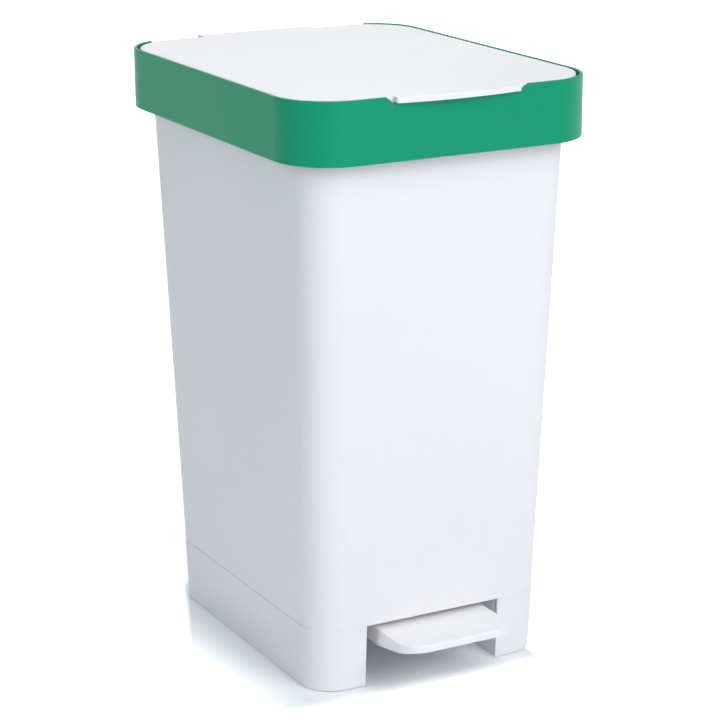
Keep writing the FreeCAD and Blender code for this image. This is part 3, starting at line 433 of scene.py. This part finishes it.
# Painted light: the tread's white is lighter than WHITE to make up for the light the bin keeps off
# the tread.
TREAD_WHITE_PAINTED_LIGHTER = (0.905, 0.895, 0.905, 1)
SCUFF_GREY = (0.74, 0.745, 0.76, 1)
GREEN = (0.002, 0.302, 0.152, 1)
CLOUD_GREEN = (0.002, 0.291, 0.146, 1)
# EDGE_GREEN is paler than GREEN: painted highlight along the collar's edges, with some handling
# wear.
EDGE_GREEN = (0.05, 0.42, 0.25, 1)
LEDGE = 0.4605

white = plastic("moulded_white", WHITE, CLOUD_WHITE, EDGE_WHITE, 0.48, 0.22)
tread_white = plastic("tread_white", TREAD_WHITE_PAINTED_LIGHTER, EDGE_WHITE, SCUFF_GREY, 0.49, 0.2, scuffs=0.2)
green = plastic("moulded_green", GREEN, CLOUD_GREEN, EDGE_GREEN, 0.40, 0.15, sink_line=LEDGE)
dress(white, "body", "plinth", "lid")
dress(tread_white, "pedal")
dress(green, "collar")

# %% [markdown]
# ## Steel, acetal and rubber
# The push rod, the axle and the hinge pin are cut from zinc-plated drawn wire, so
# fine lines run along them. Stretching a noise along one axis draws such lines.
# The rod stands upright and the other two lie across, so the steel is made twice.

# %% Drawn steel
LINE_HEIGHT = 0.000003
DARK_STEEL = (0.50, 0.51, 0.53, 1)
LIGHT_STEEL = (0.70, 0.71, 0.72, 1)
ZINC_BLOOM = (0.62, 0.63, 0.66, 1)


def drawn_steel(name, scale):
    material, wire = blank_material(name)
    place = wire.node("ShaderNodeTexCoord", None, None, "Object")
    line = noise(stretched(place, scale), 1.0, 3.0)
    patch = noise(place, 60.0, 3.0)
    bloom = step(patch, 0.52, 0.75)
    tone = mixed(line, DARK_STEEL, LIGHT_STEEL)
    tone = mixed(0.5 * bloom, tone, ZINC_BLOOM)
    rough = 0.22 + 0.14 * line + 0.12 * bloom
    relief = wire.node("ShaderNodeBump", None, {
        "Strength": 1.0, "Distance": 1.0, "Height": LINE_HEIGHT * line})
    to_output(wire.node("ShaderNodeBsdfPrincipled", None, {
        "Base Color": tone, "Metallic": 1.0, "Roughness": rough, "Normal": relief}))
    print("made", name)
    return material


upright_steel = drawn_steel("drawn_steel_upright", (2500.0, 2500.0, 30.0))
across_steel = drawn_steel("drawn_steel_across", (30.0, 2500.0, 2500.0))
dress(upright_steel, "push_rod")
dress(across_steel, "pedal_axle", "hinge_pin")

# %% [markdown]
# The rod's guides and its two ends are acetal, a slippery plastic that is used
# uncoloured: a milky white, a little yellower than the body and a little duller.

# %% Acetal
MILKY = (0.74, 0.74, 0.70, 1)
MILKY_SWIRL = (0.79, 0.79, 0.76, 1)
ACETAL_GRAIN = 0.000003


def acetal():
    material, wire = blank_material("natural_acetal")
    place = wire.node("ShaderNodeTexCoord", None, None, "Object")
    swirl = noise(place, 140.0, 3.0)
    grain = noise(place, 3000.0)
    tone = mixed(step(swirl, 0.3, 0.7), MILKY, MILKY_SWIRL)
    soft = wire.node("ShaderNodeBevel", {"samples": 6}, {"Radius": EDGE_RADIUS})
    relief = wire.node("ShaderNodeBump", None, {
        "Strength": 1.0, "Distance": 1.0, "Height": ACETAL_GRAIN * grain, "Normal": soft})
    to_output(wire.node("ShaderNodeBsdfPrincipled", None, {
        "Base Color": tone, "Roughness": 0.44 + 0.14 * (swirl - 0.5), "Normal": relief}))
    return material


ROD_PLASTICS = ("rod_cap", "rod_foot", "rod_guide_upper", "rod_guide_lower")
dress(acetal(), *ROD_PLASTICS)
print("acetal on", ", ".join(ROD_PLASTICS))

# %% [markdown]
# Rubber is dull and never quite black. Dust settles in its pores, so a second,
# coarser noise greys it in spots.

# %% Rubber
BLACK = (0.022, 0.022, 0.024, 1)
DUST_GREY = (0.10, 0.10, 0.10, 1)
PORE_DEPTH = 0.00001


def rubber():
    material, wire = blank_material("black_rubber")
    place = wire.node("ShaderNodeTexCoord", None, None, "Object")
    pores = noise(place, 2600.0, 3.0)
    dust = step(noise(place, 420.0, 4.0), 0.48, 0.72)
    tone = mixed(0.5 * dust, BLACK, DUST_GREY)
    relief = wire.node("ShaderNodeBump", None, {
        "Strength": 1.0, "Distance": 1.0, "Height": PORE_DEPTH * pores})
    to_output(wire.node("ShaderNodeBsdfPrincipled", None, {
        "Base Color": tone, "Roughness": 0.68 + 0.2 * dust,
        "Specular IOR Level": 0.3, "Normal": relief}))
    return material


black_rubber = rubber()
print("made", black_rubber.name)

# %% [markdown]
# ## Small turned parts
# Feet, screws and clips are plain discs in the CAD model. The real ones are turned
# or moulded round an axis, so each is drawn as half of its section and spun. A
# Screw modifier would do the same; bmesh's spin is used because the doubled points
# at the seam and on the axis can be merged, and the normals put right, at once.

# %% Spin a section round Z
MM = 0.001
WELD = 0.00001


def turned(name, section, steps):
    """A solid of revolution from (radius, height) points in millimetres."""
    mesh = bmesh.new()
    points = [mesh.verts.new((radius * MM, 0, height * MM)) for radius, height in section]
    lines = [mesh.edges.new(pair) for pair in zip(points, points[1:])]
    bmesh.ops.spin(mesh, geom=points + lines, cent=(0, 0, 0), axis=(0, 0, 1),
                   angle=math.tau, steps=steps)
    bmesh.ops.remove_doubles(mesh, verts=mesh.verts, dist=WELD)
    bmesh.ops.recalc_face_normals(mesh, faces=mesh.faces)
    return as_object(name, mesh)


def as_object(name, mesh):
    made = bpy.data.meshes.new(name)
    mesh.to_mesh(made)
    mesh.free()
    item = bpy.data.objects.new(name, made)
    scene.collection.objects.link(item)
    print("shaped", name, "with", len(made.polygons), "faces")
    return item


print("points closer than", 1000 * WELD, "mm are merged")

# %% [markdown]
# ## Setting out copies with Geometry Nodes
# There are four equal feet and four equal screws, each set at the corners of a
# rectangle. They could be copied in a loop. A node tree says the rule itself: a
# grid of two by two points, one part on each point. Its inputs are the rectangle's
# sides and its middle, and they are read from the CAD model's boxes.

# %% A tree that sets a part on four corners
def new_tree(name, inputs):
    """A geometry tree with named inputs: the tree, a wire for each input, and their identifiers."""
    tree = bpy.data.node_groups.new(name, "GeometryNodeTree")
    keys = {}
    for title, kind in inputs.items():
        keys[title] = tree.interface.new_socket(title, in_out="INPUT", socket_type=kind).identifier
    tree.interface.new_socket("Geometry", in_out="OUTPUT", socket_type="NodeSocketGeometry")
    start = tree.nodes.new("NodeGroupInput")
    wires = {title: Wire(tree, start.outputs[title]) for title in inputs}
    return tree, wires, keys


def end_tree(geometry, finish):
    solid = geometry.node("GeometryNodeRealizeInstances", None, {"Geometry": geometry})
    done = geometry.node("GeometryNodeSetMaterial", None, {"Geometry": solid, "Material": finish})
    geometry.node("NodeGroupOutput", None, {"Geometry": done})


def four_corners(part, finish):
    tree, given, keys = new_tree("four_corners", {
        "Across": "NodeSocketFloat", "Along": "NodeSocketFloat", "Middle": "NodeSocketVector"})
    wire = given["Across"]
    grid = wire.node("GeometryNodeMeshGrid", None, {
        "Size X": given["Across"], "Size Y": given["Along"], "Vertices X": 2, "Vertices Y": 2})
    placed = wire.node("GeometryNodeTransform", None, {
        "Geometry": grid, "Translation": given["Middle"]})
    one = wire.node("GeometryNodeObjectInfo", None, {"Object": part}, "Geometry")
    copies = wire.node("GeometryNodeInstanceOnPoints", None, {"Points": placed, "Instance": one})
    end_tree(copies, finish)
    print("a tree of", len(tree.nodes), "nodes sets", part.name, "on four corners")
    return tree, keys


print("new_tree starts a tree, end_tree closes it, four_corners fills one in")

# %% [markdown]
# The tree's result becomes a plain mesh, because a live modifier would have to be
# worked out again for every pose. Edges sharper than 32 degrees stay sharp.

# %% Turn a tree's result into a plain piece
SHARP = math.radians(32)


def grown(name, tree, values, body, stands_for):
    piece = bpy.data.objects.new(name, bpy.data.meshes.new(name))
    scene.collection.objects.link(piece)
    maker = piece.modifiers.new("maker", "NODES")
    maker.node_group = tree
    for key, value in values.items():
        maker[key] = value
    worked_out = piece.evaluated_get(bpy.context.evaluated_depsgraph_get())
    made = bpy.data.meshes.new_from_object(worked_out)
    piece.modifiers.remove(maker)
    piece.data = made
    for face in made.polygons:
        face.use_smooth = True
    made.set_sharp_from_angle(angle=SHARP)
    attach(piece, body)
    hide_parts(*stands_for)
    print(name, "has", len(made.polygons), "faces")
    return piece


def drop(*items):
    for item in items:
        bpy.data.objects.remove(item)


print("edges over", round(math.degrees(SHARP)), "degrees stay sharp")

# %% [markdown]
# ## Feet
# Each foot is a rubber button pushed through the plinth's flange: a flat sole with
# grooves for grip, a neck in the hole, and a barb above that keeps it in.

# %% Four rubber feet
FEET = ("foot_front_left", "foot_front_right", "foot_rear_left", "foot_rear_right")
SOLE = [(0, 0.3), (1.0, 0.3), (1.2, 0), (2.4, 0), (2.6, 0.3), (3.6, 0.3), (3.8, 0), (5.0, 0),
        (5.2, 0.3), (5.7, 0.3), (5.9, 0), (6.6, 0), (7.0, 0.4), (6.9, 0.9), (6.7, 1.0)]
NECK_AND_BARB = [(3.0, 1.0), (3.0, 3.5), (4.0, 3.55), (4.0, 4.1), (3.4, 5.4), (2.6, 6.0), (0, 6.0)]

front_left = sum(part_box("foot_front_left"), Vector()) / 2
rear_right = sum(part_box("foot_rear_right"), Vector()) / 2
button = turned("rubber_button", SOLE + NECK_AND_BARB, 40)
tree, keys = four_corners(button, black_rubber)
grown("rubber_feet", tree, {
    keys["Across"]: rear_right.x - front_left.x,
    keys["Along"]: rear_right.y - front_left.y,
    keys["Middle"]: (0, (front_left.y + rear_right.y) / 2, 0),
}, "bin", FEET)
drop(button)

# %% [markdown]
# ## Screws
# The plinth hangs on four thread-forming screws. From below only their heads show:
# a low dome with a cross-shaped recess. The recess is cut with a Boolean, because
# drawing it into the dome point by point would take far longer. The coarse thread
# is drawn as rings, since it is hidden in the boss.

# %% One screw
SEAT_LOW, SEAT_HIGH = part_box("plinth_screws")
HEAD = 3.8
HEAD_HEIGHT = 2.6
SHANK = (SEAT_HIGH.z - SEAT_LOW.z) / MM - HEAD_HEIGHT
CORE = 1.4
CREST = 1.88
PITCH = 1.35
TURNS = 9


def screw_section():
    dome = [(0, 0), (1.6, 0.08), (2.7, 0.42), (3.4, 0.95), (HEAD, 1.8), (HEAD, 2.35)]
    thread = [(3.6, HEAD_HEIGHT), (CORE, HEAD_HEIGHT)]
    for turn in range(TURNS):
        foot = HEAD_HEIGHT + 0.8 + PITCH * turn
        thread += [(CORE, foot), (CREST, foot + 0.3), (CREST, foot + 0.42), (CORE, foot + 0.72)]
    return dome + thread + [(1.3, HEAD_HEIGHT + SHANK - 0.8), (0, HEAD_HEIGHT + SHANK)]


screw = turned("screw", screw_section(), 32)

# %% The cross-shaped recess
ARM = Vector((4.2, 0.85, 3.0))
TIP = 0.55
SINK = Vector((0, 0, 0.1))


def cross_cutter():
    """Two crossed bars that get narrower upwards, into the head."""
    mesh = bmesh.new()
    for turn in (0, math.pi / 2):
        bar = bmesh.ops.create_cube(mesh, size=1.0)["verts"]
        for point in bar:
            narrow = TIP if point.co.z > 0 else 1.0
            point.co = (point.co * ARM * Vector((narrow, narrow, 1)) + SINK) * MM
        bmesh.ops.rotate(mesh, verts=bar, cent=(0, 0, 0), matrix=Matrix.Rotation(turn, 3, "Z"))
    return as_object("cross_cutter", mesh)


cutter = cross_cutter()
cut = screw.modifiers.new("recess", "BOOLEAN")
cut.object = cutter
cut.solver = "EXACT"
cut.use_self = True

# %% Four screws under the plinth
tree, keys = four_corners(screw, across_steel)
grown("plinth_screw_set", tree, {
    keys["Across"]: SEAT_HIGH.x - SEAT_LOW.x - 2 * HEAD * MM,
    keys["Along"]: SEAT_HIGH.y - SEAT_LOW.y - 2 * HEAD * MM,
    keys["Middle"]: (0, (SEAT_LOW.y + SEAT_HIGH.y) / 2, SEAT_LOW.z),
}, "bin", ["plinth_screws"])
drop(screw, cutter)

# %% [markdown]
# ## Push-on clips
# A star washer at each end keeps the axle in: a rim with springy teeth that bite
# into the steel. The teeth repeat round a circle, so a second tree sets one tooth
# on each point of a circle, adds the rim, and puts the whole washer on both ends.

# %% The rim and one tooth
CLIP_LOW, CLIP_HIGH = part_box("axle_clips")
CLIP = (CLIP_HIGH.z - CLIP_LOW.z) / 2 / MM
AXLE = 3.02
ROOT = 4.5
TEETH = 8
SHEET = 0.4


def tooth():
    """A tongue from its root in the rim to the axle, leaning out of the washer's plane."""
    mesh = bmesh.new()
    sides = [(AXLE - ROOT, 0.52, 0.55), (0, 1.0, 0.05)]
    rings = []
    for radius, half, lift in sides:
        corners = [(-half, lift), (half, lift), (half, lift + SHEET), (-half, lift + SHEET)]
        rings.append([mesh.verts.new(Vector((radius, y, z)) * MM) for y, z in corners])
    for index in range(4):
        following = (index + 1) % 4
        mesh.faces.new((rings[0][index], rings[0][following], rings[1][following], rings[1][index]))
    mesh.faces.new(rings[0])
    mesh.faces.new(rings[1][::-1])
    bmesh.ops.recalc_face_normals(mesh, faces=mesh.faces)
    return as_object("tooth", mesh)


RIM = [(4.35, 0.05), (5.7, 0.05), (CLIP, 0.2), (CLIP, 0.4), (5.7, 0.5), (4.35, 0.5), (4.35, 0.05)]
rim = turned("clip_rim", RIM, 48)
tongue = tooth()

# %% A tree for both clips
def star_washers(ring, tongue, finish):
    tree, given, keys = new_tree("star_washers", {
        "Teeth": "NodeSocketInt", "Root": "NodeSocketFloat",
        "Reach": "NodeSocketFloat", "Middle": "NodeSocketVector"})
    wire = given["Root"]
    circle = wire.node("GeometryNodeMeshCircle", None, {
        "Vertices": given["Teeth"], "Radius": given["Root"]})
    place = wire.node("GeometryNodeInputPosition")
    facing = wire.node("FunctionNodeAlignRotationToVector", {"axis": "X"}, {"Vector": place})
    one = wire.node("GeometryNodeObjectInfo", None, {"Object": tongue}, "Geometry")
    teeth = wire.node("GeometryNodeInstanceOnPoints", None, {
        "Points": circle, "Instance": one, "Rotation": facing})
    band = wire.node("GeometryNodeObjectInfo", None, {"Object": ring}, "Geometry")
    washer = wire.node("GeometryNodeJoinGeometry", None, {"Geometry": [band, teeth]})
    halves = []
    for side in (1, -1):
        turned_out = wire.node("GeometryNodeTransform", None, {
            "Geometry": washer, "Rotation": (0, side * math.pi / 2, 0)})
        offset = wire.node("ShaderNodeCombineXYZ", None, {"X": given["Reach"] * side})
        halves.append(wire.node("GeometryNodeTransform", None, {
            "Geometry": turned_out, "Translation": offset}))
    pair = wire.node("GeometryNodeJoinGeometry", None, {"Geometry": halves})
    placed = wire.node("GeometryNodeTransform", None, {
        "Geometry": pair, "Translation": given["Middle"]})
    end_tree(placed, finish)
    print("a tree of", len(tree.nodes), "nodes makes both clips")
    return tree, keys


tree, keys = star_washers(rim, tongue, across_steel)
grown("axle_star_clips", tree, {
    keys["Teeth"]: TEETH,
    keys["Root"]: ROOT * MM,
    keys["Reach"]: CLIP_HIGH.x - MM,
    keys["Middle"]: (0, (CLIP_LOW.y + CLIP_HIGH.y) / 2, (CLIP_LOW.z + CLIP_HIGH.z) / 2),
}, "bin", ["axle_clips"])
drop(rim, tongue)
